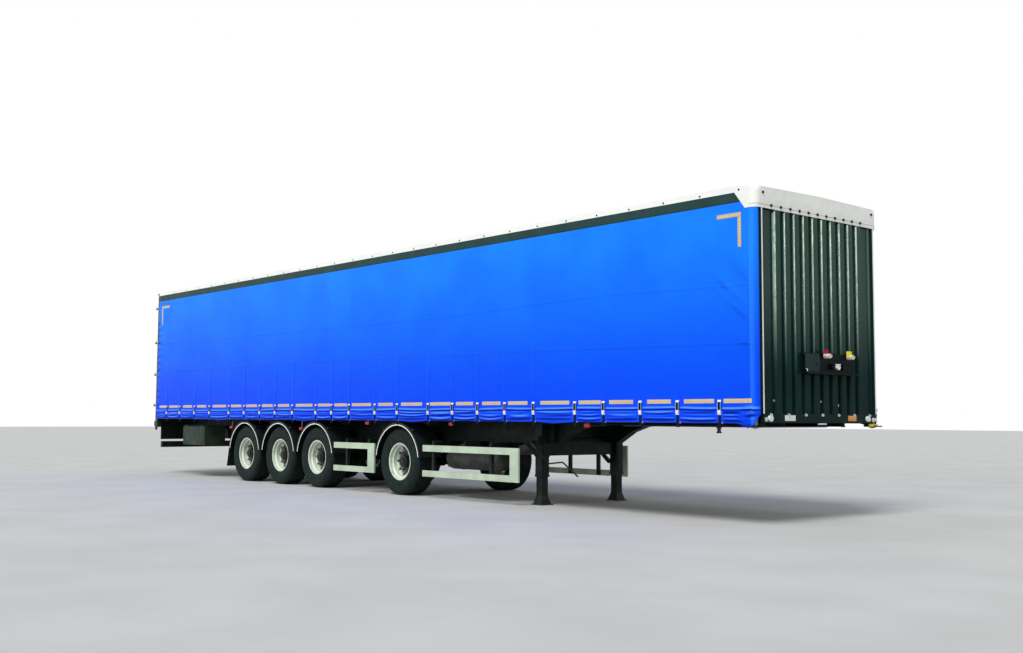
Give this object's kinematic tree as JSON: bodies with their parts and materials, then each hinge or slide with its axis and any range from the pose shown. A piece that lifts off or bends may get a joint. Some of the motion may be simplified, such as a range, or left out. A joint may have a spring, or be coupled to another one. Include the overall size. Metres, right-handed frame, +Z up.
{
  "type": "semi trailer",
  "caption": "Long curtain-side semi trailer with a ribbed front wall, a front axle set ahead of a close rear axle group, landing legs, side guards and rear doors.",
  "frame": {"origin": "centre of the overall box, on the ground", "axes": "+X forward along the trailer, +Y to its left, +Z up"},
  "size_m": [16.6, 2.568, 4],
  "materials": {
    "chassis_steel": "satin black chassis paint",
    "king_pin_steel": "bare greased steel",
    "floor_board": "film-faced plywood",
    "wall_green": "gloss dark green-grey paint",
    "post_white": "gloss white",
    "curtain_blue": "coated curtain fabric",
    "roof_white": "coated roof sheet",
    "strap_web": "webbing with plated buckles",
    "rail_slate": "dark anodised",
    "pillar_alu": "mill finish",
    "guard_alu": "pale anodised",
    "mudguard_black": "moulded black",
    "bellows_rubber": "ribbed rubber",
    "tyre": "road rubber",
    "rim_silver": "silver wheel paint",
    "door_white": "gloss panel paint",
    "box_grey": "grey-green moulding",
    "lamp_red": "clear red lens",
    "panel_black": "black housing"
  },
  "bodies": {
    "chassis": {"main_beams": "chassis_steel", "neck_beams": "chassis_steel", "cross_members": "chassis_steel", "side_rails": "chassis_steel", "coupling_plate": "king_pin_steel", "load_floor": "floor_board", "front_wall": "wall_green", "front_frame": "wall_green", "corner_trims": "post_white", "curtain_buckles": "strap_web", "cant_rails": "rail_slate", "roof_bows": "pillar_alu", "roof_cover": "roof_white", "side_posts": "pillar_alu", "rear_frame": "post_white", "side_guard_rails": "guard_alu", "side_guard_posts": "chassis_steel", "mudguards": "mudguard_black", "axles": "chassis_steel", "suspension_arms": "chassis_steel", "air_springs": "bellows_rubber", "landing_gear": "chassis_steel", "underrun_bar": "chassis_steel", "lamps": "lamp_red", "toolbox": "box_grey", "air_tanks": "chassis_steel", "service_panel": "panel_black", "side_curtains": "curtain_blue", "tension_rolls": "curtain_blue", "rear_buffers": "bellows_rubber"},
    "wheel_right_1": {"rim_right_1": "rim_silver", "tyre_right_1": "tyre"},
    "wheel_right_2": {"rim_right_2": "rim_silver", "tyre_right_2": "tyre"},
    "wheel_right_3": {"rim_right_3": "rim_silver", "tyre_right_3": "tyre"},
    "wheel_right_4": {"rim_right_4": "rim_silver", "tyre_right_4": "tyre"},
    "wheel_left_1": {"rim_left_1": "rim_silver", "tyre_left_1": "tyre"},
    "wheel_left_2": {"rim_left_2": "rim_silver", "tyre_left_2": "tyre"},
    "wheel_left_3": {"rim_left_3": "rim_silver", "tyre_left_3": "tyre"},
    "wheel_left_4": {"rim_left_4": "rim_silver", "tyre_left_4": "tyre"},
    "toolbox_lid": {"toolbox_lid": "box_grey"},
    "rear_door_right": {"rear_door_right": "door_white"},
    "rear_door_left": {"rear_door_left": "door_white"}
  },
  "joints": [
    {"name": "wheel_right_1_spin", "type": "hinge", "parent": "chassis", "child": "wheel_right_1", "pos_m": [1.025, -1.0275, 0.536], "axis": [0, 1, 0], "continuous": true},
    {"name": "wheel_right_2_spin", "type": "hinge", "parent": "chassis", "child": "wheel_right_2", "pos_m": [-1.505, -1.0275, 0.536], "axis": [0, 1, 0], "continuous": true},
    {"name": "wheel_right_3_spin", "type": "hinge", "parent": "chassis", "child": "wheel_right_3", "pos_m": [-2.805, -1.0275, 0.536], "axis": [0, 1, 0], "continuous": true},
    {"name": "wheel_right_4_spin", "type": "hinge", "parent": "chassis", "child": "wheel_right_4", "pos_m": [-4.105, -1.0275, 0.536], "axis": [0, 1, 0], "continuous": true},
    {"name": "wheel_left_1_spin", "type": "hinge", "parent": "chassis", "child": "wheel_left_1", "pos_m": [1.025, 1.0275, 0.536], "axis": [0, 1, 0], "continuous": true},
    {"name": "wheel_left_2_spin", "type": "hinge", "parent": "chassis", "child": "wheel_left_2", "pos_m": [-1.505, 1.0275, 0.536], "axis": [0, 1, 0], "continuous": true},
    {"name": "wheel_left_3_spin", "type": "hinge", "parent": "chassis", "child": "wheel_left_3", "pos_m": [-2.805, 1.0275, 0.536], "axis": [0, 1, 0], "continuous": true},
    {"name": "wheel_left_4_spin", "type": "hinge", "parent": "chassis", "child": "wheel_left_4", "pos_m": [-4.105, 1.0275, 0.536], "axis": [0, 1, 0], "continuous": true},
    {"name": "rear_door_right_swing", "type": "hinge", "parent": "chassis", "child": "rear_door_right", "pos_m": [-8.289, -1.27, 2.5], "axis": [0, 0, 1], "range_deg": [0, 265]},
    {"name": "rear_door_left_swing", "type": "hinge", "parent": "chassis", "child": "rear_door_left", "pos_m": [-8.289, 1.27, 2.5], "axis": [0, 0, -1], "range_deg": [0, 265]},
    {"name": "toolbox_lid_lift", "type": "hinge", "parent": "chassis", "child": "toolbox_lid", "pos_m": [-6.345, -1.227, 1.048], "axis": [-1, 0, 0], "range_deg": [0, 85]}
  ]
}
